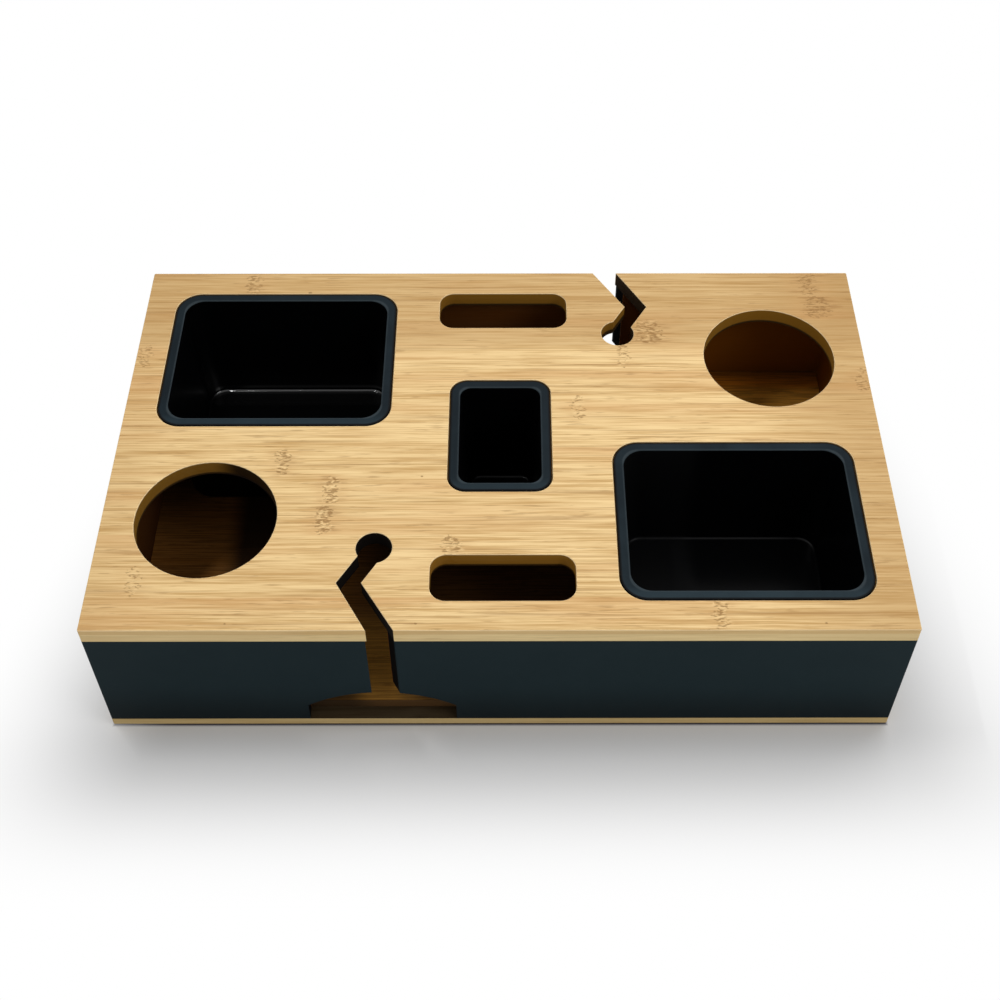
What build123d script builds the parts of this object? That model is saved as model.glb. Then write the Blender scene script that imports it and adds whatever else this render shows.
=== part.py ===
from build123d import *
import os

# A tray that stands on a sofa arm: a shallow wooden box whose top holds cups, phones and cables,
# with three lift-out tubs hung in its top. Lengths are in millimetres. X runs along the tray,
# Y to its back and Z up. The origin lies under the middle, where the pads meet the sofa arm.

# Boards of the box
top_thick = 10.0
bottom_thick = 6.0
floor_thick = 6.4
floor_gap = 0.2
wall_thick = 7.0
rabbet_depth = 3.5
arris_radius = 0.9
edge_break = 0.5

# Bare margin kept round the cut-outs, how far the large tubs' pockets stand from the tray's middle
# and from its centreline along X, and how far the slots stand right of the middle
edge_margin = 17.5
pocket_from_middle = 61.0
pocket_from_centreline = 5.8
slot_shift = 1.6

# Cup holes
cup_radius = 37.5

# Phone slots
phone_slot_width = 75.0
phone_slot_depth = 28.0
phone_slot_corner = 8.5

# Cable slots: a round head, a bent channel to the long edge, a neck down the wall and a low arch
cable_reach = 66.9
cable_length = 50.0
cable_head_radius = 9.5
channel_width = 12.8
bend_shift = 11.8
bend_drop = 21.6
leg_aim = 1.3
mouth_shift = 5.5
mouth_width = 14.0
neck_shift = 5.2
neck_width = 14.9
arch_width = 79.0
arch_shift = 2.4
arch_side_height = 14.0
arch_height = 27.6

# Large tubs, by the pockets that they hang in
large_pocket_width = 131.5
large_pocket_depth = 102.7
large_pocket_corner = 14.5
large_tub_corner = 11.0

# Centre tub
centre_pocket_width = 57.0
centre_pocket_depth = 79.4
centre_pocket_corner = 10.0
centre_tub_corner = 6.5

# Section shared by all tubs, and the room under them
tub_depth = 76.0
tub_clearance = 3.8
tub_wall = 2.0
tub_draft = 4.0
tub_floor_radius = 2.0
rim_width = 5.4
rim_thick = 2.4
lip_radius = 0.7
rim_gap = 0.6
body_gap = 0.8

# Dowels between the walls and the top
dowel_radius = 2.0
dowel_in_wall = 10.0
dowel_in_top = 6.0
dowel_tip_chamfer = 0.4
dowel_glue_gap = 0.05
dowel_end_gap = 0.5

# Countersunk screws through the bottom into the walls
screw_radius = 1.25
screw_length = 20.0
screw_tip = 3.0
screw_tip_radius = 0.4
screw_head_radius = 2.4
screw_head_height = 1.6
screw_recess_width = 0.6
screw_recess_length = 2.8
screw_recess_depth = 1.0
screw_gap = 0.05
screw_end_gap = 0.5

# How far dowels and screws stand from the box's corners and from the openings in its long walls
corner_margin = 30.0
opening_margin = 15.0

# Anti-slip pads under the bottom
pad_radius = 10.0
pad_proud = 1.5
pad_inset = 26.0
pad_edge = 0.4

# How far cutters run past the faces that they cut, and how near two heights count as the same
overrun = 5.0
same_height = 0.01

# The box's outer sizes follow from the tubs that it holds
tray_length = 2 * (edge_margin + large_pocket_width + pocket_from_middle)
tray_depth = 2 * (edge_margin + large_pocket_depth + pocket_from_centreline)
wall_height = floor_thick + tub_clearance + tub_wall + tub_depth - top_thick

# Heights of the boards' faces
bottom_low = pad_proud
bottom_top = bottom_low + bottom_thick
floor_top = bottom_top + floor_thick
walls_top = bottom_top + wall_height
tray_top = walls_top + top_thick

# Places of the cut-outs, all kept the same margin away from the edges
half_length = tray_length / 2
half_depth = tray_depth / 2
large_tub_x = half_length - edge_margin - large_pocket_width / 2
large_tub_y = half_depth - edge_margin - large_pocket_depth / 2
cup_x = half_length - edge_margin - cup_radius
cup_y = large_tub_y
phone_slot_y = half_depth - edge_margin - phone_slot_depth / 2
wall_line = half_depth - wall_thick / 2
end_wall_line = half_length - wall_thick / 2

# The two long sides: the front one as drawn, the back one turned half round.
# The same numbers turn a place, by turning the signs of its x and y.
FRONT = 1
BACK = -1


def turned(shape, side):
    return shape if side == FRONT else Rot(0, 0, 180) * shape


def slab(width, depth, low, high, x=0, y=0):
    return Pos(x, y, (low + high) / 2) * Box(width, depth, high - low)


def rounded_slab(width, depth, corner, low, high, x=0, y=0):
    outline = Pos(x, y, low) * RectangleRounded(width, depth, corner)
    return extrude(outline, high - low)


def rod(radius, low, high, x=0, y=0):
    return Pos(x, y, (low + high) / 2) * Cylinder(radius, high - low)


def prism(points, low, high):
    outline = make_face(Polyline(*points, close=True))
    return extrude(Pos(0, 0, low) * outline, high - low)


def edges_at_height(shape, height):
    return shape.edges().filter_by_position(Axis.Z, height - same_height, height + same_height)


def outer_corners(shape, width, depth):
    upright = shape.edges().filter_by(Axis.Z)
    return upright.filter_by(lambda e: is_corner(e.center(), width, depth))


def is_corner(point, width, depth):
    near = arris_radius
    return abs(abs(point.X) - width / 2) < near and abs(abs(point.Y) - depth / 2) < near


# The cable slot is drawn from the middle of its head, for the front side

def slot_x(side):
    return -cable_reach + side * slot_shift


def head_y():
    return -half_depth + cable_length


def channel_slope():
    return (mouth_shift + bend_shift) / (cable_length - bend_drop)


def slanted_channel(low_end, low_width, high_end, high_width, low, high):
    (x0, y0), (x1, y1) = low_end, high_end
    near, far = low_width / 2, high_width / 2
    return prism([(x0 - near, y0), (x0 + near, y0), (x1 + far, y1), (x1 - far, y1)], low, high)


def cable_channel(side, low, high):
    x, y = slot_x(side), head_y()
    bend = (x - bend_shift, y - bend_drop)
    past_edge = (x + mouth_shift + channel_slope() * overrun, -half_depth - overrun)
    past_width = mouth_width + (mouth_width - channel_width) * overrun / (cable_length - bend_drop)
    head = rod(cable_head_radius, low, high, x, y)
    upper_leg = slanted_channel(bend, channel_width, (x + leg_aim, y), channel_width, low, high)
    lower_leg = slanted_channel(past_edge, past_width, bend, channel_width, low, high)
    return turned(head + upper_leg + lower_leg, side)


def wall_neck(side, low, high):
    middle = slot_x(side) + neck_shift
    inside = wall_thick + overrun
    outer = (middle + channel_slope() * overrun, -half_depth - overrun)
    inner = (middle - channel_slope() * inside, -half_depth + inside)
    return slanted_channel(outer, neck_width, inner, neck_width, low, high)


def wall_arch(side):
    middle = slot_x(side) + arch_shift
    left = middle - arch_width / 2
    right = middle + arch_width / 2
    foot = bottom_top - overrun
    shoulder = bottom_top + arch_side_height
    crown = bottom_top + arch_height
    sides = Polyline((left, shoulder), (left, foot), (right, foot), (right, shoulder))
    cap = ThreePointArc((right, shoulder), (middle, crown), (left, shoulder))
    outline = make_face(sides + cap)
    return extrude(Plane.XZ * outline, half_depth + overrun, both=True)


# Places of the hidden fixings: near each corner, beside each opening, and halfway along what is left

def long_wall_places(side, opening_middle, opening_width):
    left_edge = opening_middle - opening_width / 2
    right_edge = opening_middle + opening_width / 2
    near_corner = half_length - corner_margin
    beside = right_edge + opening_margin
    xs = [-near_corner, left_edge - opening_margin, beside, (beside + near_corner) / 2, near_corner]
    return [(side * x, -side * wall_line) for x in xs]


def end_wall_places():
    near_corner = half_depth - corner_margin
    return [(x, y) for x in (-end_wall_line, end_wall_line) for y in (-near_corner, 0, near_corner)]


def dowel_places():
    places = end_wall_places()
    for side in (FRONT, BACK):
        places += long_wall_places(side, slot_x(side) + neck_shift, neck_width)
    return places


def screw_places():
    places = end_wall_places()
    for side in (FRONT, BACK):
        places += long_wall_places(side, slot_x(side) + arch_shift, arch_width)
    return places


def dowel_holes():
    radius = dowel_radius + dowel_glue_gap
    low = walls_top - dowel_in_wall - dowel_end_gap
    high = walls_top + dowel_in_top + dowel_end_gap
    return [rod(radius, low, high, x, y) for x, y in dowel_places()]


def screw_holes():
    return [screw_hole(x, y) for x, y in screw_places()]


def screw_hole(x, y):
    radius = screw_radius + screw_gap
    high = bottom_low + screw_length + screw_end_gap
    return screw_head(screw_gap, x, y) + rod(radius, bottom_low, high, x, y)


def screw_head(gap, x, y):
    cone = Cone(screw_head_radius + gap, screw_radius + gap, screw_head_height)
    return Pos(x, y, bottom_low + screw_head_height / 2) * cone


# Boards

def top_panel():
    panel = slab(tray_length, tray_depth, walls_top, tray_top)
    panel = fillet(outer_corners(panel, tray_length, tray_depth), arris_radius)
    for side in (FRONT, BACK):
        panel -= cable_channel(side, walls_top - overrun, tray_top + overrun)
        panel -= cup_hole(side)
        panel -= phone_slot(side)
    for pocket in tub_pockets():
        panel -= pocket
    panel = fillet(edges_at_height(panel, tray_top), edge_break)
    for hole in dowel_holes():
        panel -= hole
    return panel


def cup_hole(side):
    return turned(rod(cup_radius, walls_top - overrun, tray_top + overrun, -cup_x, -cup_y), side)


def phone_slot(side):
    low, high = walls_top - overrun, tray_top + overrun
    size = (phone_slot_width, phone_slot_depth, phone_slot_corner)
    return rounded_slab(*size, low, high, slot_shift, -side * phone_slot_y)


def tub_pockets():
    large = (large_pocket_width, large_pocket_depth, large_pocket_corner, large_tub_corner)
    centre = (centre_pocket_width, centre_pocket_depth, centre_pocket_corner, centre_tub_corner)
    return [pocket(*large, x, y) for x, y in large_tub_places()] + [pocket(*centre, 0, 0)]


def large_tub_places():
    return [(-large_tub_x, large_tub_y), (large_tub_x, -large_tub_y)]


def body_size(pocket_size):
    return pocket_size - 2 * (rim_gap + rim_width - tub_wall)


def pocket(width, depth, pocket_corner, tub_corner, x, y):
    seat = rounded_slab(width, depth, pocket_corner, tray_top - rim_thick, tray_top + overrun, x, y)
    hole_width = body_size(width) + 2 * body_gap
    hole_depth = body_size(depth) + 2 * body_gap
    hole_corner = tub_corner + tub_wall + body_gap
    hole = rounded_slab(hole_width, hole_depth, hole_corner, walls_top - overrun, tray_top, x, y)
    return seat + hole


def bottom_panel():
    panel = slab(tray_length, tray_depth, bottom_low, bottom_top)
    panel = fillet(outer_corners(panel, tray_length, tray_depth), arris_radius)
    panel = fillet(edges_at_height(panel, bottom_low), edge_break)
    for hole in screw_holes():
        panel -= hole
    return panel


def floor_board():
    # Glued on the bottom panel, between the walls
    round_it = wall_thick + floor_gap
    return slab(tray_length - 2 * round_it, tray_depth - 2 * round_it, bottom_top, floor_top)


def long_walls(side):
    # The neck and the arch part each long wall into a left and a right board
    wall = slab(tray_length, wall_thick, bottom_top, walls_top, 0, -wall_line)
    wall = fillet(outer_corners(wall, tray_length, tray_depth), arris_radius)
    for end in (-end_wall_line, end_wall_line):
        wall -= slab(wall_thick, wall_thick, bottom_top, walls_top, end, -wall_line + rabbet_depth)
    wall -= wall_neck(side, bottom_top + arch_side_height, walls_top + overrun)
    wall -= wall_arch(side)
    return drilled(turned(wall, side)).solids().sort_by(Axis.X)


def end_wall(x):
    length = tray_depth - 2 * rabbet_depth
    return drilled(slab(wall_thick, length, bottom_top, walls_top, x, 0))


def drilled(wall):
    for hole in dowel_holes() + screw_holes():
        wall -= hole
    return wall


# Tubs: a flat rim over a tapered shell with a rounded floor

def tapered(width, depth, corner, narrowing, low, high):
    floor = Pos(0, 0, low) * RectangleRounded(width - 2 * narrowing, depth - 2 * narrowing, corner)
    mouth = Pos(0, 0, high) * RectangleRounded(width, depth, corner)
    return loft([floor, mouth], ruled=True)


def tub(pocket_width, pocket_depth, pocket_corner, tub_corner, x, y):
    rim = (pocket_width - 2 * rim_gap, pocket_depth - 2 * rim_gap, pocket_corner - rim_gap)
    outer = (body_size(pocket_width), body_size(pocket_depth), tub_corner + tub_wall)
    inner = (outer[0] - 2 * tub_wall, outer[1] - 2 * tub_wall, tub_corner)
    inside_low = tray_top - tub_depth
    outside_low = inside_low - tub_wall
    body = tapered(*outer, tub_draft, outside_low, tray_top)
    body = fillet(edges_at_height(body, outside_low), tub_floor_radius + tub_wall)
    hollow = tapered(*inner, tub_draft, inside_low, tray_top)
    hollow = fillet(edges_at_height(hollow, inside_low), tub_floor_radius)
    shell = rounded_slab(*rim, tray_top - rim_thick, tray_top) + body - hollow
    shell = fillet(edges_at_height(shell, tray_top), lip_radius)
    return Pos(x, y, 0) * shell


def large_tub(place):
    return tub(large_pocket_width, large_pocket_depth, large_pocket_corner, large_tub_corner, *place)


def centre_tub():
    return tub(centre_pocket_width, centre_pocket_depth, centre_pocket_corner, centre_tub_corner, 0, 0)


# Fixings and pads

def dowel(x, y):
    pin = rod(dowel_radius, walls_top - dowel_in_wall, walls_top + dowel_in_top, x, y)
    return chamfer(pin.edges().filter_by(GeomType.CIRCLE), dowel_tip_chamfer)


def screw(x, y):
    shank_end = bottom_low + screw_length - screw_tip
    tip = Pos(x, y, shank_end + screw_tip / 2) * Cone(screw_radius, screw_tip_radius, screw_tip)
    body = screw_head(0, x, y) + rod(screw_radius, bottom_low, shank_end, x, y) + tip
    for width, depth in ((screw_recess_width, screw_recess_length), (screw_recess_length, screw_recess_width)):
        body -= slab(width, depth, bottom_low, bottom_low + screw_recess_depth, x, y)
    return body


def pad(side, right):
    x = right * (half_length - pad_inset)
    y = -side * (half_depth - pad_inset)
    disc = rod(pad_radius, 0, pad_proud, x, y)
    return fillet(edges_at_height(disc, 0), pad_edge)


def build_nodes():
    back_left, front_right = large_tub_places()
    front_left_wall, front_right_wall = long_walls(FRONT)
    back_left_wall, back_right_wall = long_walls(BACK)
    nodes = {
        "top_panel": top_panel(),
        "bottom_panel": bottom_panel(),
        "floor_board": floor_board(),
        "front_left_wall": front_left_wall,
        "front_right_wall": front_right_wall,
        "back_left_wall": back_left_wall,
        "back_right_wall": back_right_wall,
        "left_end_wall": end_wall(-end_wall_line),
        "right_end_wall": end_wall(end_wall_line),
        "back_left_tub": large_tub(back_left),
        "front_right_tub": large_tub(front_right),
        "centre_tub": centre_tub(),
        "top_dowels": Compound(children=[dowel(x, y) for x, y in dowel_places()]),
        "bottom_screws": Compound(children=[screw(x, y) for x, y in screw_places()]),
    }
    for side, long_name in ((FRONT, "front"), (BACK, "back")):
        for right, end_name in ((-1, "left"), (1, "right")):
            nodes[f"{long_name}_{end_name}_pad"] = pad(side, right)
    return nodes


os.makedirs("parts", exist_ok=True)
for name, shape in build_nodes().items():
    shape.label = name
    export_step(shape, f"parts/{name}.step")
    print(name, round(shape.volume, 1))
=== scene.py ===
import math

import bpy
from mathutils import Matrix, Vector


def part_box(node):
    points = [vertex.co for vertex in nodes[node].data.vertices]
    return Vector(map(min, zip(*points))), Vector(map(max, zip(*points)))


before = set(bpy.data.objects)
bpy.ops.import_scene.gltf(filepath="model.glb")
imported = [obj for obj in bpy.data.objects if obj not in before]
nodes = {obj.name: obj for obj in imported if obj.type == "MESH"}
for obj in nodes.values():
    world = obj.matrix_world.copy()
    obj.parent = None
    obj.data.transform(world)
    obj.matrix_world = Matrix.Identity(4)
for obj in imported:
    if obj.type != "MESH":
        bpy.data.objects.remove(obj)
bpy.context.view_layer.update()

# This script dresses the tray's CAD boards and tubs in their finishes, and sets up the studio and the
# photo's camera. Lengths are in metres, written as millimetres times MM
MM = 0.001

# The tray's main faces, read from its boards
top_low, top_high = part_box("top_panel")
_, bottom_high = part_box("bottom_panel")
_, floor_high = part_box("floor_board")
half_length = top_high.x
half_depth = top_high.y
edge_break = 0.5 * MM
wall_thick = 7 * MM
top_layer = 3.6 * MM

# Where openings lie in the top, right of the middle (x) and back from it (y), for the burns on their
# cut faces and the painted shade in the left cup hole. The cable slots' y counts towards the front for
# the front one
front_slot_x = (-96 * MM, -48 * MM)
back_slot_x = (48 * MM, 96 * MM)
slots_y = (60 * MM, 66 * MM)
slot_soft = 4 * MM
left_cup_x = (-196 * MM, -114 * MM)
left_cup_y = (-96 * MM, -18 * MM)
left_cup_shadow_x = (-158 * MM, -142 * MM)
cup_soft = 2 * MM

# The back slot's right face: how far back it bends, how much it slants, and where its burn starts
slot_bend_y = 97.6 * MM
slot_slant = 0.61
slot_burn_x = (79.6 * MM, 81.0 * MM)

# How far back all cut faces darken
darker_cut_y = (0.0, 70 * MM)

# A burnt line along the foot of each cut face, from full to none, and how much higher it lies in the
# back slot
low_line = (0.8 * MM, 2.2 * MM)
low_line_rise = 2.0 * MM

# How deep the layers reach that look unlike the rest of their board: the top's and the bottom's sides,
# the bottom's bare top, the floor board's ends, the walls' paint and their charred cut faces
top_skin = 0.35 * MM
bottom_skin = 0.8 * MM
bare_skin = (0.3 * MM, 0.1 * MM)
end_skin = (0.4 * MM, 0.1 * MM)
paint_skin = (1.2 * MM, 0.9 * MM)
cut_skin = (0.3 * MM, 0.5 * MM)
cut_ragged = 0.5 * MM

# Where the top starts to look aged, and where it is most so
aged_back_y = (60 * MM, 72 * MM)
aged_right_x = (125 * MM, 205 * MM)
aged_left_x = (-170 * MM, -205 * MM)

# Where the floor board's painted light and shade change, each from its start to where it is full
middle_reach = (110 * MM, 60 * MM)
middle_x = (-50 * MM, -30 * MM)
right_end_x = (95 * MM, 125 * MM)
near_neck_x = (-70 * MM, -58 * MM)
near_neck_y = (-56 * MM, -84 * MM)
neck_soft = 34 * MM
right_cup_y = (110 * MM, 98 * MM)
beside_cup_x = (-149 * MM, -108 * MM)
beside_cup_soft = 15 * MM
behind_cup_x = (-160 * MM, -195 * MM)
behind_cup_y = (-24 * MM, 20 * MM)
behind_cup_end_x = (-115 * MM, -125 * MM)
arch_left_x = (-68 * MM, -82 * MM)
arch_right_x = (-59 * MM, -50 * MM)
arch_end_x = (-30 * MM, -44 * MM)
arch_y = (-111 * MM, -116 * MM)
back_corner = 12 * MM
left_of_neck_x = (-62 * MM, -82 * MM)

# Where painted light turns the walls' inside amber at the right and the back and painted shade darkens
# it at the left, and how high painted shade starts to darken their paint towards the foot
amber_wall_x = (90 * MM, 120 * MM)
amber_wall_y = (0.0, 90 * MM)
dark_wall_x = (-185 * MM, -200 * MM)
wall_foot_z = (45 * MM, 8 * MM)

# On a tub: how deep the rim's finish is, how far in from its front edge it is paler, how far in from its
# outline the painted highlight on its inner lip starts and the painted shade on its outer edge ends
rim_skin = (0.5 * MM, 0.2 * MM)
pale_front_y = (9 * MM, 3 * MM)
rim_inner = (4.2 * MM, 5.2 * MM)
rim_outer = (1.4 * MM, 0.7 * MM)

# Where its floor has stayed glossy: above its underside, in front of its back and right of its left
gloss_z = (7 * MM, 5 * MM)
gloss_y = (24 * MM, 20 * MM)
gloss_x = (11 * MM, 15 * MM)
dull_soft = 6 * MM

# Bamboo strips that the boards are glued from, and how far a knuckle's outline wanders
strip_count = 13
strip_width = 2 * half_depth / strip_count
knuckle_wobble = 12 * MM

# The top's knuckles: how many millimetres right of the middle each lies, in which strip counted from
# the back, half its length along the grain, and how strongly it shows
top_knuckles = (
    (-148, 0, 6.0, 0.8), (185, 0, 8.0, 0.9), (188, 1, 9.0, 1.0), (87, 2, 10.0, 1.0), (71, 3, 5.0, 0.5),
    (-205, 3, 5.0, 0.45), (206, 4, 5.0, 0.7), (44, 5, 5.5, 0.5), (-118, 7, 5.0, 0.8), (-90, 8, 5.5, 1.0),
    (-93, 9, 6.0, 1.0), (-25, 10, 6.5, 0.8), (-187, 11, 6.0, 0.5), (111, 12, 4.5, 0.7),
)

# Its dark flecks and one small knot: millimetres right of the middle and back from it, half length
# and strength
top_flecks = (
    (-114, 109.5, 1.4, 0.8), (-137, -122, 0.8, 0.8), (-42, -122, 1.0, 0.8), (-42, -29.5, 0.8, 0.8),
    (163, -122, 0.9, 0.8), (94, -84, 0.7, 0.8), (91, 72.0, 3.4, 0.35),
)

# How fine each grain is along X, Y and Z, in waves per metre
patch_grain = (4.5, 42, 42)
band_grain = (9, 340, 340)
streak_grain = (24, 1150, 1150)
fibre_grain = (11, 560, 560)
cluster_grain = (14, 110, 110)
dash_grain = (60, 820, 820)
curl_grain = (330, 880, 880)
wobble_grain = (60, 210, 60)
fleck_grain = (500, 800, 800)
ply_grain = (5, 200, 1300)
dowel_grain = (1800, 1800, 60)
scratch_grain = (500, 3000, 500)
ragged_grain = (300, 300, 300)
mottle_grain = (45, 45, 45)
peel_grain = (900, 900, 900)
worn_grain = (26, 26, 26)
moulded_grain = (1400, 1400, 1400)
crumb_grain = (700, 700, 700)
floor_grain = (30, 30, 30)

# How deep each finish's relief is
lacquer_relief = 0.08 * MM
raw_relief = 0.1 * MM
dowel_relief = 0.05 * MM
wall_relief = 0.04 * MM
plastic_relief = 0.02 * MM
rubber_relief = 0.08 * MM

# How rough each finish is and the gloss in the tubs, and how much rougher a place is that is burnt,
# dulled or on a tub's rim
lacquer_rough = 0.52
raw_rough = 0.6
dowel_rough = 0.7
wall_rough = 0.62
plastic_rough = 0.28
rubber_rough = 0.85
floor_rough = 0.9
gloss_rough = 0.055
charred_rougher = 0.45
sooty_rougher = 0.35
dull_rougher = 0.32
rim_rougher = 0.22

# How much light each finish throws back from its surface
lacquer_shine = 0.1
raw_shine = 0.08
wall_shine = 0.04
plastic_shine = 0.08
floor_shine = 0.1

# The painted shade on the studio floor: how far it reaches ahead of, beside, under and behind the tray,
# how far it leans to the left for each step towards the front, and from where; and the painted dark
# edge under the tray
shade_ahead = 102 * MM
shade_beside = 102 * MM
shade_under = 30 * MM
shade_behind = 34 * MM
shade_lean = 0.35
shade_middle = 14 * MM
shade_turn = 104 * MM
contact_edge = (1.2 * MM, -0.8 * MM)

# Colours, in linear light
pale_bamboo = (0.93, 0.675, 0.335, 1)
tan_bamboo = (0.60, 0.365, 0.137, 1)
aged_bamboo = (0.44, 0.245, 0.085, 1)
rosy_bamboo = (0.68, 0.38, 0.155, 1)
fibre_brown = (0.31, 0.155, 0.05, 1)
knuckle_brown = (0.31, 0.17, 0.06, 1)
edge_bamboo = (0.74, 0.59, 0.30, 1)
bottom_edge_bamboo = (0.42, 0.31, 0.13, 1)
scorched_bamboo = (0.34, 0.155, 0.010, 1)
# Near black, for burnt cut faces and grain lines, and for painted shade inside the box
char_and_shade_bamboo = (0.012, 0.007, 0.004, 1)
# Black, for sooty cut faces and for painted shade beside and behind the left cup
soot_and_shade_black = (0.002, 0.0012, 0.001, 1)
painted_edge_highlight = (0.97, 0.80, 0.50, 1)
smoked_bamboo = (0.29, 0.10, 0.008, 1)
painted_shade_bamboo = (0.016, 0.010, 0.005, 1)
smoked_end = (0.080, 0.040, 0.014, 1)
# Painted light on the floor board: at its right end, near the neck and under the right cup
painted_light_amber = (0.62, 0.20, 0.014, 1)
lit_smoked = (0.42, 0.20, 0.035, 1)
lit_amber = (0.85, 0.43, 0.07, 1)
smoked_wall = (0.13, 0.034, 0.0015, 1)
# Painted light on the walls' inside
amber_wall = (0.26, 0.084, 0.002, 1)
paint_blue_black = (0.0060, 0.0150, 0.0188, 1)
paint_faded = (0.0095, 0.0207, 0.0247, 1)
plastic_black = (0.0008, 0.0009, 0.0011, 1)
rim_slate = (0.0028, 0.0075, 0.0112, 1)
rim_worn = (0.017, 0.031, 0.040, 1)
lip_highlight = (0.045, 0.060, 0.068, 1)
dowel_dark = (0.48, 0.34, 0.18, 1)
dowel_pale = (0.68, 0.52, 0.31, 1)
zinc_dark = (0.42, 0.42, 0.41, 1)
zinc_pale = (0.62, 0.62, 0.60, 1)
rubber_dark = (0.012, 0.012, 0.012, 1)
rubber_pale = (0.035, 0.035, 0.036, 1)
floor_grey = (0.90, 0.90, 0.90, 1)
floor_white = (0.92, 0.92, 0.92, 1)
floor_shade = (0.68, 0.68, 0.68, 1)
contact_shade = (0.05, 0.04, 0.05, 1)
white = (1, 1, 1, 1)

# Each tub's rim corner, how worn its rim is, how glossy its floor's back edge has stayed, and what
# share of its length is dull from the left
tub_looks = {
    "back_left_tub": (13.9 * MM, 0.28, 1.0, 0.0),
    "front_right_tub": (13.9 * MM, 0.45, 0.05, 0.36),
    "centre_tub": (9.4 * MM, 0.22, 0.0, 0.0),
}

# The soft boxes: where each hangs, where it points, its length and width, and its power in watts
soft_boxes = {
    "back_box": ((0.35, 0.55, 1.10), (0.05, 0, 0.05), (1.2, 0.35), 4.4),
    "right_box": ((0.80, -0.55, 1.00), (0.15, -0.1, 0.05), (0.6, 0.5), 3.8),
    "left_box": ((-0.40, 0.02, 1.20), (-0.15, 0.02, 0.05), (0.22, 0.02), 2.0),
}

# How strongly the room lights the tray, how bright it looks itself, and how wide its floor is
room_light = 0.50
room_white = 1.0
studio_size = 12

# The camera, fitted to the photo's straight edges and round holes: its place, its turn, tilt and roll
# in degrees, its sensor and lens in millimetres, and its frame's shift
camera_place = (3.734 * MM, -528.295 * MM, 741.4 * MM)
camera_turn = -0.13267
camera_tilt = 41.60440
camera_roll = 0.02936
camera_sensor = 36.0
camera_lens = 54.381
camera_shift = (-0.0090845, -0.127243)
camera_near = 0.05


class Finish:
    """One material's nodes, added and wired by short calls."""

    def __init__(self, name):
        self.material = bpy.data.materials.new(name)
        self.material.use_nodes = True
        self.tree = self.material.node_tree
        self.tree.nodes.clear()
        self.place = self.add("ShaderNodeTexCoord").outputs["Object"]
        axes = self.add("ShaderNodeSeparateXYZ", {0: self.place})
        self.x, self.y, self.z = axes.outputs

    def add(self, kind, inputs=None, **settings):
        """A new node, whose inputs are values or other nodes' outputs."""
        node = self.tree.nodes.new(kind)
        for key, value in settings.items():
            setattr(node, key, value)
        for key, value in (inputs or {}).items():
            if isinstance(value, bpy.types.NodeSocket):
                self.tree.links.new(value, node.inputs[key])
            else:
                node.inputs[key].default_value = value
        return node

    def math(self, operation, *values):
        inputs = {i: v for i, v in enumerate(values)}
        return self.add("ShaderNodeMath", inputs, operation=operation).outputs[0]

    def times(self, first, *others):
        """The product of some masks."""
        for other in others:
            first = self.math("MULTIPLY", first, other)
        return first

    def jitter(self, grain, detail, roughness=0.5):
        """Noise that wavers round zero."""
        return self.math("SUBTRACT", self.noise(grain, detail, roughness), 0.5)

    def stretched(self, scale, place=None):
        inputs = {"Vector": place or self.place, "Scale": scale}
        return self.add("ShaderNodeMapping", inputs).outputs[0]

    def noise(self, scale, detail=2.0, roughness=0.5, place=None, distortion=0.0):
        inputs = {"Vector": self.stretched(scale, place), "Scale": 1.0, "Detail": detail,
                  "Roughness": roughness, "Distortion": distortion}
        return self.add("ShaderNodeTexNoise", inputs).outputs["Fac"]

    def ramp(self, value, low, high, to_low=0.0, to_high=1.0):
        """A soft step, from one value at the first place to another at the second."""
        inputs = {"Value": value, "From Min": low, "From Max": high, "To Min": to_low, "To Max": to_high}
        return self.add("ShaderNodeMapRange", inputs, interpolation_type="SMOOTHSTEP").outputs[0]

    def blend(self, share, low, high):
        """The first colour, and the second one by that share."""
        node = self.add("ShaderNodeMix", data_type="RGBA")
        for socket, value in zip((node.inputs[0], node.inputs[6], node.inputs[7]), (share, low, high)):
            if isinstance(value, bpy.types.NodeSocket):
                self.tree.links.new(value, socket)
            else:
                socket.default_value = value
        return node.outputs[2]

    def bump(self, height, distance, strength):
        inputs = {"Height": height, "Distance": distance, "Strength": strength}
        return self.add("ShaderNodeBump", inputs).outputs[0]

    def principled(self, **inputs):
        named = {key.replace("_", " "): value for key, value in inputs.items()}
        return self.add("ShaderNodeBsdfPrincipled", named).outputs[0]

    def output(self, shader):
        self.add("ShaderNodeOutputMaterial", {0: shader})
        return self.material


def strip_of(finish):
    """Each strip's number, counted from the back edge."""
    from_back = finish.math("SUBTRACT", half_depth, finish.y)
    return finish.math("FLOOR", finish.math("DIVIDE", from_back, strip_width))


def knuckle_masks(finish, knuckles):
    """Where the fibres curl at each knuckle, and the wider stretch where they run out of it."""
    wobble = finish.jitter(wobble_grain, 3.0, 0.6)
    x = finish.math("MULTIPLY_ADD", wobble, knuckle_wobble, finish.x)
    core = fan = 0.0
    for right, strip, half_long, strength in knuckles:
        reach = half_long * MM
        centre = half_depth - (strip + 0.5) * strip_width
        along = finish.math("ABSOLUTE", finish.math("SUBTRACT", x, right * MM))
        across = finish.math("DIVIDE", finish.math("SUBTRACT", finish.y, centre), strip_width * 0.52)
        across = finish.math("POWER", finish.math("ABSOLUTE", across), 6.0)
        near = finish.math("MULTIPLY_ADD", across, reach, along)
        core = finish.math("MAXIMUM", core, finish.ramp(near, reach, reach * 0.4, 0.0, strength))
        fan = finish.math("MAXIMUM", fan, finish.ramp(near, reach * 2.6, reach * 0.8, 0.0, strength))
    return core, fan


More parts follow.
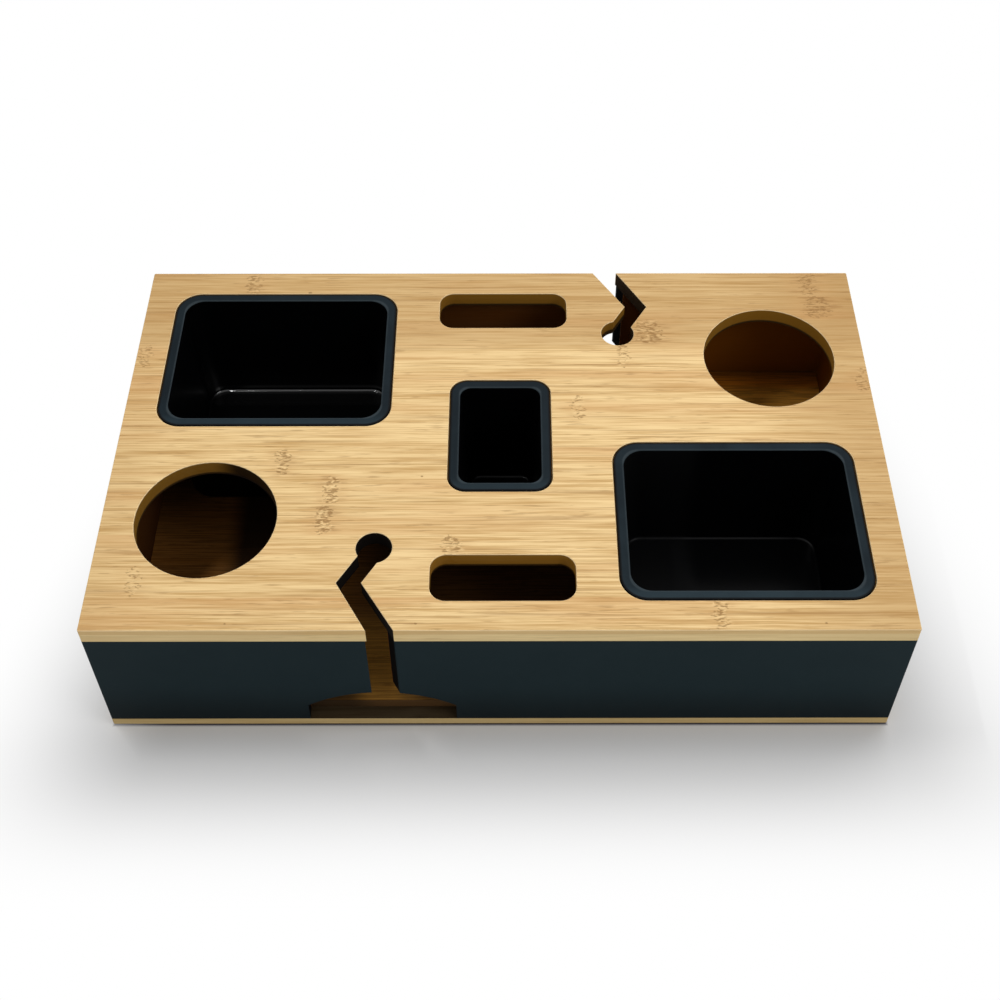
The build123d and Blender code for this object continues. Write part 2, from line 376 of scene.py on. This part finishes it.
def fleck_mask(finish, flecks):
    """Small dark spots, a little longer than they are wide."""
    ragged = finish.jitter(fleck_grain, 2.0, 0.6)
    spots = 0.0
    for right, back, half_long, strength in flecks:
        along = finish.math("DIVIDE", finish.math("SUBTRACT", finish.x, right * MM), half_long * MM)
        across = finish.math("DIVIDE", finish.math("SUBTRACT", finish.y, back * MM), half_long * 0.7 * MM)
        near = finish.math("ADD", finish.times(along, along), finish.times(across, across))
        near = finish.math("MULTIPLY_ADD", ragged, 1.6, near)
        spots = finish.math("MAXIMUM", spots, finish.ramp(near, 1.0, 0.2, 0.0, strength))
    return spots


def bamboo_colour(finish, knuckles=(), flecks=(), aged=0.0):
    """Colour and relief of a planed bamboo face whose strips run along X, aged by that share."""
    strip = strip_of(finish)
    shade = finish.add("ShaderNodeTexWhiteNoise", {"W": strip}, noise_dimensions="1D").outputs["Value"]
    slid_x = finish.math("MULTIPLY_ADD", shade, 3.0, finish.x)
    place = finish.add("ShaderNodeCombineXYZ", {0: slid_x, 1: finish.y, 2: finish.z}).outputs[0]
    patches = finish.noise(patch_grain, 2.0, 0.5, place)
    bands = finish.noise(band_grain, 3.0, 0.55, place)
    streaks = finish.noise(streak_grain, 3.0, 0.60, place)
    tone = finish.math("MULTIPLY_ADD", streaks, 0.58, finish.times(bands, 0.42))
    tone = finish.math("MULTIPLY_ADD", shade, 0.05, tone)
    colour = finish.blend(finish.ramp(tone, 0.37, 0.64), tan_bamboo, pale_bamboo)
    colour = finish.blend(finish.ramp(patches, 0.48, 0.72, 0.0, 0.55), colour, rosy_bamboo)
    fibres = finish.noise(fibre_grain, 2.0, 0.5, place)
    colour = finish.blend(finish.ramp(fibres, 0.55, 0.72, 0.0, 0.38), colour, fibre_brown)
    colour = finish.blend(aged, colour, aged_bamboo)
    clusters = finish.noise(cluster_grain, 2.0, 0.5, place)
    reach = finish.ramp(clusters, 0.35, 0.7, 0.03, 0.10)
    fine = finish.noise(dash_grain, 2.0, 0.55, place)
    dashes = finish.ramp(finish.math("ADD", fine, reach), 0.66, 0.80)
    relief = streaks
    if knuckles:
        core, fan = knuckle_masks(finish, knuckles)
        run_out = finish.ramp(finish.math("MULTIPLY_ADD", fan, 0.11, fine), 0.60, 0.74)
        dashes = finish.math("MAXIMUM", dashes, finish.times(run_out, fan))
        curls = finish.noise(curl_grain, 2.0, 0.55, distortion=0.5)
        strong = finish.math("MULTIPLY_ADD", core, 0.10, curls)
        marks = finish.times(finish.ramp(strong, 0.57, 0.68), finish.ramp(core, 0.02, 0.35))
        fresh = finish.math("MULTIPLY_ADD", aged, -1.6, 1.0)
        # The glints are painted highlights on the curled fibres
        glints = finish.times(finish.ramp(curls, 0.47, 0.37), core, fresh)
        colour = finish.blend(finish.times(fan, 0.18), colour, rosy_bamboo)
        colour = finish.blend(finish.times(marks, 0.70), colour, knuckle_brown)
        colour = finish.blend(finish.times(glints, 0.85), colour, pale_bamboo)
        relief = finish.math("MULTIPLY_ADD", marks, -1.2, relief)
    colour = finish.blend(finish.times(dashes, 0.42), colour, fibre_brown)
    if flecks:
        colour = finish.blend(fleck_mask(finish, flecks), colour, knuckle_brown)
    relief = finish.math("MULTIPLY_ADD", dashes, -0.7, relief)
    return colour, relief


def outside_mask(finish, depth):
    """One on the outermost layer of the box's four sides, that deep."""
    x = finish.ramp(finish.math("ABSOLUTE", finish.x), half_length - depth, half_length - depth * 0.8)
    y = finish.ramp(finish.math("ABSOLUTE", finish.y), half_depth - depth, half_depth - depth * 0.8)
    return finish.math("MAXIMUM", x, y)


def ply_shade(finish):
    """The top board's edge: a darker top layer over a paler core."""
    joint = top_high.z - top_layer
    joint_soft = 0.15 * MM
    upper = finish.ramp(finish.z, joint - joint_soft, joint + joint_soft)
    upper = finish.math("MULTIPLY_ADD", finish.jitter(ply_grain, 3.0, 0.6), 0.9, upper)
    return finish.times(upper, 0.5)


def between(finish, place, low, high, soft):
    """One between two places, zero a soft length outside them."""
    return finish.times(finish.ramp(place, low - soft, low), finish.ramp(place, high + soft, high))


def front_slot(finish):
    """Where the front cable slot is."""
    along = between(finish, finish.x, *front_slot_x, slot_soft)
    towards_front = finish.times(finish.y, -1.0)
    return finish.times(along, finish.ramp(towards_front, *slots_y))


def left_cup_shade(finish):
    """Painted shade on the left cup hole's cut face: a little all round, much deeper on its right."""
    right = finish.ramp(finish.x, *left_cup_shadow_x, 0.30, 0.96)
    along = between(finish, finish.x, *left_cup_x, cup_soft)
    return finish.times(right, along, between(finish, finish.y, *left_cup_y, cup_soft))


def charred_cuts(finish):
    """The cut faces that the saw burnt: the front cable slot, the right of the back one, and a low line."""
    from_bend = finish.math("ABSOLUTE", finish.math("SUBTRACT", finish.y, slot_bend_y))
    slanted = finish.math("MULTIPLY_ADD", from_bend, slot_slant, finish.x)
    in_back_slot = between(finish, finish.x, *back_slot_x, slot_soft)
    right = finish.times(finish.ramp(slanted, *slot_burn_x), in_back_slot)
    back = finish.times(right, finish.ramp(finish.y, *slots_y, 0.0, 0.95))
    rise = finish.times(finish.ramp(finish.y, *slots_y, 0.0, low_line_rise), in_back_slot)
    height = finish.math("SUBTRACT", finish.z, rise)
    low = finish.ramp(height, top_low.z + low_line[1], top_low.z + low_line[0], 0.0, 0.9)
    return finish.math("MAXIMUM", low, finish.math("MAXIMUM", front_slot(finish), back))


def aged_share(finish):
    """How far the top has aged: its back strips most, then its right end, its left end a little."""
    back = finish.ramp(finish.y, *aged_back_y, 1.0, 0.56)
    right = finish.ramp(finish.x, *aged_right_x, 1.0, 0.50)
    left = finish.ramp(finish.x, *aged_left_x, 1.0, 0.82)
    return finish.math("SUBTRACT", 1.0, finish.times(back, right, left))


def top_board_finish():
    """Lacquered bamboo with painted highlights on its eased edges and burnt cut faces."""
    finish = Finish("bamboo_top")
    colour, relief = bamboo_colour(finish, top_knuckles, top_flecks, aged_share(finish))
    face = finish.ramp(finish.z, top_high.z - edge_break * 1.5, top_high.z - edge_break * 0.5)
    side = finish.blend(0.6, colour, edge_bamboo)
    side = finish.blend(ply_shade(finish), side, tan_bamboo)
    cut = finish.blend(0.93, colour, scorched_bamboo)
    cut = finish.blend(finish.ramp(finish.y, *darker_cut_y, 0.0, 0.24), cut, char_and_shade_bamboo)
    charred = charred_cuts(finish)
    cut = finish.blend(charred, cut, char_and_shade_bamboo)
    cut = finish.blend(finish.times(front_slot(finish), 0.8), cut, soot_and_shade_black)
    # Painted shade on the left cup hole's cut face
    cut = finish.blend(left_cup_shade(finish), cut, char_and_shade_bamboo)
    edge = finish.blend(outside_mask(finish, top_skin), cut, side)
    colour = finish.blend(face, edge, colour)
    # A painted highlight along the eased edges of the top face
    below_top = finish.math("SUBTRACT", top_high.z, finish.z)
    edge_highlight = finish.ramp(below_top, edge_break, edge_break * 0.7, 0.0, 0.49)
    edge_highlight = finish.times(edge_highlight, finish.ramp(below_top, edge_break * 0.04, edge_break * 0.16))
    colour = finish.blend(edge_highlight, colour, painted_edge_highlight)
    normal = finish.bump(relief, lacquer_relief, 0.6)
    roughness = finish.math("MULTIPLY_ADD", relief, -0.1, lacquer_rough)
    charred = finish.times(charred, finish.math("SUBTRACT", 1.0, face))
    roughness = finish.math("MULTIPLY_ADD", charred, charred_rougher, roughness)
    shader = finish.principled(Base_Color=colour, Roughness=roughness, Normal=normal,
                               Specular_IOR_Level=lacquer_shine)
    return finish.output(shader)


def raw_bamboo(finish, colour, relief):
    """A bamboo board that was never lacquered."""
    normal = finish.bump(relief, raw_relief, 0.6)
    shader = finish.principled(Base_Color=colour, Roughness=raw_rough, Normal=normal,
                               Specular_IOR_Level=raw_shine)
    return finish.output(shader)


def bottom_board_finish():
    """Painted shade where the arches leave its top bare, plain on the sides and underneath."""
    finish = Finish("bamboo_bottom")
    colour, relief = bamboo_colour(finish)
    inside = finish.ramp(finish.z, bottom_high.z - bare_skin[0], bottom_high.z - bare_skin[1])
    side = finish.blend(0.7, colour, bottom_edge_bamboo)
    plain = finish.blend(outside_mask(finish, bottom_skin), colour, side)
    # Painted shade on the bare top under the arches
    colour = finish.blend(inside, plain, finish.blend(0.97, colour, painted_shade_bamboo))
    return raw_bamboo(finish, colour, relief)


def painted_light_and_shade_inside(finish, smoked):
    """Painted shade between the cups; painted light by the neck, at the right end and under the right cup.
    """
    middle = finish.ramp(finish.math("ABSOLUTE", finish.x), *middle_reach)
    share = finish.ramp(finish.x, *middle_x, 0.84, 0.70)
    smoked = finish.blend(finish.times(middle, share), smoked, char_and_shade_bamboo)
    right_end = finish.ramp(finish.x, *right_end_x)
    smoked = finish.blend(right_end, smoked, painted_light_amber)
    near_neck = between(finish, finish.x, *near_neck_x, neck_soft)
    lit = finish.times(finish.ramp(finish.y, *near_neck_y), near_neck)
    smoked = finish.blend(finish.times(lit, 0.95), smoked, lit_smoked)
    under_right_cup = finish.times(right_end, finish.ramp(finish.y, *right_cup_y))
    return finish.blend(finish.times(under_right_cup, 0.6), smoked, lit_amber)


def painted_shade_inside(finish, smoked):
    """Painted shade beside and behind the left cup, and at both ends of the front arch."""
    beside_cup = between(finish, finish.x, *beside_cup_x, beside_cup_soft)
    smoked = finish.blend(finish.times(beside_cup, 0.92), smoked, soot_and_shade_black)
    behind_cup = finish.ramp(finish.x, *behind_cup_x, 0.45, 0.75)
    behind_cup = finish.times(behind_cup, finish.ramp(finish.y, *behind_cup_y))
    behind_cup = finish.times(behind_cup, finish.ramp(finish.x, *behind_cup_end_x))
    smoked = finish.blend(behind_cup, smoked, soot_and_shade_black)
    arch_left = finish.ramp(finish.x, *arch_left_x, 0.0, 0.78)
    arch_right = finish.ramp(finish.x, *arch_right_x, 0.0, 0.45)
    arch_right = finish.times(arch_right, finish.ramp(finish.x, *arch_end_x))
    in_arch = finish.math("MAXIMUM", arch_left, arch_right)
    in_arch = finish.times(in_arch, finish.ramp(finish.y, *arch_y))
    return finish.blend(in_arch, smoked, painted_shade_bamboo)


def floor_board_finish():
    """Smoked bamboo with painted light by the neck and the right cup and painted shade in the middle."""
    finish = Finish("bamboo_floor")
    colour, relief = bamboo_colour(finish)
    smoked = finish.blend(0.92, colour, smoked_bamboo)
    smoked = painted_light_and_shade_inside(finish, smoked)
    smoked = painted_shade_inside(finish, smoked)
    # Painted shade along the back corner, where the floor board meets the back wall
    from_back = finish.math("SUBTRACT", floor_high.y, finish.y)
    corner = finish.ramp(from_back, back_corner, 0, 0.0, 0.6)
    smoked = finish.blend(corner, smoked, char_and_shade_bamboo)
    lines = finish.ramp(relief, 0.56, 0.40, 0.0, 0.40)
    smoked = finish.blend(lines, smoked, char_and_shade_bamboo)
    # Painted shade on the board's ends, left of the neck
    left_of_neck = finish.ramp(finish.x, *left_of_neck_x, 0.0, 0.75)
    end = finish.blend(left_of_neck, smoked_end, painted_shade_bamboo)
    from_middle = finish.math("ABSOLUTE", finish.y)
    ends = finish.ramp(from_middle, floor_high.y - end_skin[0], floor_high.y - end_skin[1])
    return raw_bamboo(finish, finish.blend(ends, smoked, end), relief)


def dowel_finish():
    """Raw dowels with their grain upright."""
    finish = Finish("dowel_wood")
    grain = finish.noise(dowel_grain, 3.0, 0.6)
    colour = finish.blend(grain, dowel_dark, dowel_pale)
    normal = finish.bump(grain, dowel_relief, 0.5)
    shader = finish.principled(Base_Color=colour, Roughness=dowel_rough, Normal=normal)
    return finish.output(shader)


def wall_finish():
    """Painted outside, charred on its cut faces, smoked bamboo inside with painted light and shade."""
    finish = Finish("painted_wall")
    colour, relief = bamboo_colour(finish)
    wood = finish.blend(0.96, colour, smoked_wall)
    # Painted light turns the inside amber at the right and the back; painted shade darkens its left end
    right_back = finish.times(finish.ramp(finish.x, *amber_wall_x), finish.ramp(finish.y, *amber_wall_y))
    wood = finish.blend(finish.times(right_back, 0.7), wood, amber_wall)
    wood = finish.blend(finish.ramp(finish.x, *dark_wall_x, 0.0, 0.45), wood, char_and_shade_bamboo)
    ragged = finish.times(finish.jitter(ragged_grain, 2.0), cut_ragged)
    edge_x = finish.math("SUBTRACT", finish.math("ABSOLUTE", finish.x), half_length - wall_thick)
    edge_y = finish.math("SUBTRACT", finish.math("ABSOLUTE", finish.y), half_depth - wall_thick)
    depth = finish.math("ADD", finish.math("MAXIMUM", edge_x, edge_y), ragged)
    cut = finish.ramp(depth, *cut_skin)
    painted = finish.ramp(depth, wall_thick - paint_skin[0], wall_thick - paint_skin[1])
    mottle = finish.noise(mottle_grain, 4.0, 0.6)
    paint = finish.blend(finish.times(mottle, 0.8), paint_blue_black, paint_faded)
    # Painted shade darkens the paint towards the foot
    foot = finish.ramp(finish.z, *wall_foot_z)
    paint = finish.blend(finish.times(foot, 0.55), paint, plastic_black)
    colour = finish.blend(painted, finish.blend(cut, wood, soot_and_shade_black), paint)
    peel = finish.noise(peel_grain, 2.0)
    height = finish.math("MULTIPLY_ADD", relief, 0.3, peel)
    normal = finish.bump(height, wall_relief, 0.5)
    sooty = finish.times(cut, finish.math("SUBTRACT", 1.0, painted))
    roughness = finish.math("MULTIPLY_ADD", sooty, sooty_rougher, wall_rough)
    roughness = finish.math("MULTIPLY_ADD", painted, -0.1, roughness)
    shader = finish.principled(Base_Color=colour, Roughness=roughness, Normal=normal,
                               Specular_IOR_Level=wall_shine)
    return finish.output(shader)


def rim_depth(finish, low, high, corner):
    """How far in from a tub's rounded outline a point lies."""
    sides = []
    for place, near, far in ((finish.x, low.x, high.x), (finish.y, low.y, high.y)):
        from_middle = finish.math("ABSOLUTE", finish.math("SUBTRACT", place, (near + far) / 2))
        sides.append(finish.math("SUBTRACT", from_middle, (far - near) / 2 - corner))
    past = [finish.math("MAXIMUM", side, 0.0) for side in sides]
    squares = [finish.times(value, value) for value in past]
    round_part = finish.math("SQRT", finish.math("ADD", *squares))
    flat_part = finish.math("MINIMUM", finish.math("MAXIMUM", *sides), 0.0)
    return finish.math("SUBTRACT", corner, finish.math("ADD", round_part, flat_part))


def tub_finish(name, corner, wear, gloss, dull):
    """Gloss inside, matte rim paler at its front, with a painted lip highlight and painted shade round it.
    """
    low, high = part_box(name)
    finish = Finish(name + "_plastic")
    rim = finish.ramp(finish.z, top_high.z - rim_skin[0], top_high.z - rim_skin[1])
    mottle = finish.ramp(finish.noise(worn_grain, 4.0, 0.65), 0.3, 0.7)
    pale_front = finish.ramp(finish.y, low.y + pale_front_y[0], low.y + pale_front_y[1], 0.0, 0.55)
    slate = finish.blend(finish.math("MULTIPLY_ADD", mottle, wear, pale_front), rim_slate, rim_worn)
    depth = rim_depth(finish, low, high, corner)
    # A painted highlight on the inner lip
    slate = finish.blend(finish.ramp(depth, *rim_inner, 0.0, 0.5), slate, lip_highlight)
    # Painted shade along the rim's outer edge, by its gap
    slate = finish.blend(finish.ramp(depth, *rim_outer, 0.0, 0.9), slate, plastic_black)
    colour = finish.blend(rim, plastic_black, slate)
    roughness = finish.math("MULTIPLY_ADD", rim, rim_rougher, plastic_rough)
    if dull:
        dull_end = low.x + dull * (high.x - low.x)
        dulled = finish.ramp(finish.x, dull_end + dull_soft, dull_end - dull_soft)
        dulled = finish.times(dulled, finish.math("SUBTRACT", 1.0, rim))
        roughness = finish.math("MULTIPLY_ADD", dulled, dull_rougher, roughness)
    normal = finish.bump(finish.noise(moulded_grain, 2.0), plastic_relief, 0.35)
    near_floor = finish.ramp(finish.z, low.z + gloss_z[0], low.z + gloss_z[1], 0.0, gloss)
    near_back = finish.ramp(finish.y, high.y - gloss_y[0], high.y - gloss_y[1])
    off_left = finish.ramp(finish.x, low.x + gloss_x[0], low.x + gloss_x[1])
    glossy = finish.times(near_floor, near_back, off_left)
    shader = finish.principled(Base_Color=colour, Roughness=roughness, Normal=normal,
                               Specular_IOR_Level=plastic_shine, Coat_Weight=glossy,
                               Coat_Roughness=gloss_rough)
    return finish.output(shader)


def screw_finish():
    """Zinc plated steel with fine turned scratches."""
    finish = Finish("screw_steel")
    scratches = finish.noise(scratch_grain, 3.0)
    colour = finish.blend(scratches, zinc_dark, zinc_pale)
    roughness = finish.math("MULTIPLY_ADD", scratches, 0.25, 0.25)
    shader = finish.principled(Base_Color=colour, Roughness=roughness, Metallic=1.0)
    return finish.output(shader)


def pad_finish():
    """Crumbly black rubber."""
    finish = Finish("pad_rubber")
    crumb = finish.noise(crumb_grain, 4.0, 0.7)
    colour = finish.blend(crumb, rubber_dark, rubber_pale)
    normal = finish.bump(crumb, rubber_relief, 0.7)
    shader = finish.principled(Base_Color=colour, Roughness=rubber_rough, Normal=normal)
    return finish.output(shader)


def finish_nodes():
    """Give every CAD node its finish."""
    by_name = {
        "top_panel": top_board_finish(),
        "bottom_panel": bottom_board_finish(),
        "floor_board": floor_board_finish(),
        "top_dowels": dowel_finish(),
        "bottom_screws": screw_finish(),
    }
    wall = wall_finish()
    rubber = pad_finish()
    for name, node in nodes.items():
        if name in by_name:
            material = by_name[name]
        elif name.endswith("_wall"):
            material = wall
        elif name.endswith("_tub"):
            material = tub_finish(name, *tub_looks[name])
        else:
            material = rubber
        node.data.materials.clear()
        node.data.materials.append(material)


def floor_finish():
    """White to the camera, with the tray's shadow and a soft painted shade ahead of and under it."""
    finish = Finish("pale_floor")
    towards_front = finish.times(finish.y, -1.0)
    front = finish.math("SUBTRACT", towards_front, half_depth)
    back = finish.math("SUBTRACT", finish.y, half_depth)
    side = finish.math("ABSOLUTE", finish.math("SUBTRACT", finish.x, shade_middle))
    side = finish.math("SUBTRACT", side, half_length - shade_turn * shade_lean)
    side = finish.math("MULTIPLY_ADD", finish.y, shade_lean, side)
    shaded = finish.times(finish.ramp(front, shade_ahead, 0), finish.ramp(side, shade_beside, -shade_under),
                          finish.ramp(back, shade_behind, 0))
    pale = finish.blend(finish.noise(floor_grain, 2.0), floor_grey, floor_white)
    colour = finish.blend(shaded, pale, floor_shade)
    past_end = finish.math("SUBTRACT", finish.math("ABSOLUTE", finish.x), half_length)
    past_side = finish.math("SUBTRACT", finish.math("ABSOLUTE", finish.y), half_depth)
    under = finish.ramp(finish.math("MAXIMUM", past_end, past_side), *contact_edge)
    colour = finish.blend(under, colour, contact_shade)
    matte = finish.principled(Base_Color=colour, Roughness=floor_rough, Specular_IOR_Level=floor_shine)
    glow = finish.add("ShaderNodeEmission", {"Color": white, "Strength": 1.0}).outputs[0]
    rays = finish.add("ShaderNodeLightPath").outputs
    seen = finish.math("MAXIMUM", rays["Is Camera Ray"], rays["Is Glossy Ray"])
    seen = finish.math("MAXIMUM", seen, rays["Is Transmission Ray"])
    share = finish.times(finish.math("SUBTRACT", 1.0, shaded), seen)
    return finish.output(finish.add("ShaderNodeMixShader", {0: share, 1: matte, 2: glow}).outputs[0])


def build_stage():
    """A wide plain floor under the tray."""
    bpy.ops.mesh.primitive_plane_add(size=studio_size, location=(0, 0, 0))
    floor = bpy.context.object
    floor.name = "floor"
    floor.data.materials.append(floor_finish())


def build_world():
    """Even light from all round, which the camera, gloss and glass see as white."""
    world = bpy.data.worlds.new("studio")
    world.use_nodes = True
    tree = world.node_tree
    tree.nodes.clear()
    rays = tree.nodes.new("ShaderNodeLightPath")
    seen = rays.outputs["Is Camera Ray"]
    for kind in ("Is Glossy Ray", "Is Transmission Ray"):
        either = tree.nodes.new("ShaderNodeMath")
        either.operation = "MAXIMUM"
        tree.links.new(seen, either.inputs[0])
        tree.links.new(rays.outputs[kind], either.inputs[1])
        seen = either.outputs[0]
    strength = tree.nodes.new("ShaderNodeMapRange")
    strength.inputs["To Min"].default_value = room_light
    strength.inputs["To Max"].default_value = room_white
    tree.links.new(seen, strength.inputs["Value"])
    sky = tree.nodes.new("ShaderNodeBackground")
    sky.inputs["Color"].default_value = white
    tree.links.new(strength.outputs[0], sky.inputs["Strength"])
    out = tree.nodes.new("ShaderNodeOutputWorld")
    tree.links.new(sky.outputs[0], out.inputs["Surface"])
    bpy.context.scene.world = world


def soft_box(name, place, aim, size, power):
    """A flat lamp that hangs at a place and points at another."""
    data = bpy.data.lights.new(name, "AREA")
    data.shape = "RECTANGLE"
    data.size, data.size_y = size
    data.energy = power
    lamp = bpy.data.objects.new(name, data)
    bpy.context.scene.collection.objects.link(lamp)
    lamp.location = place
    lamp.rotation_euler = (Vector(aim) - Vector(place)).to_track_quat("-Z", "Y").to_euler()


def build_camera():
    """The photo's camera."""
    data = bpy.data.cameras.new("photo_camera")
    data.sensor_width = camera_sensor
    data.lens = camera_lens
    data.shift_x, data.shift_y = camera_shift
    data.clip_start = camera_near
    camera = bpy.data.objects.new("photo_camera", data)
    bpy.context.scene.collection.objects.link(camera)
    turn = Matrix.Rotation(math.radians(camera_turn), 4, "Z")
    tilt = Matrix.Rotation(math.radians(camera_tilt), 4, "X")
    roll = Matrix.Rotation(math.radians(camera_roll), 4, "Z")
    camera.matrix_world = Matrix.Translation(camera_place) @ turn @ tilt @ roll
    bpy.context.scene.camera = camera


build_camera()
build_world()
build_stage()
for box_name, box_set_up in soft_boxes.items():
    soft_box(box_name, *box_set_up)
finish_nodes()

bpy.context.scene.view_settings.view_transform = "Standard"
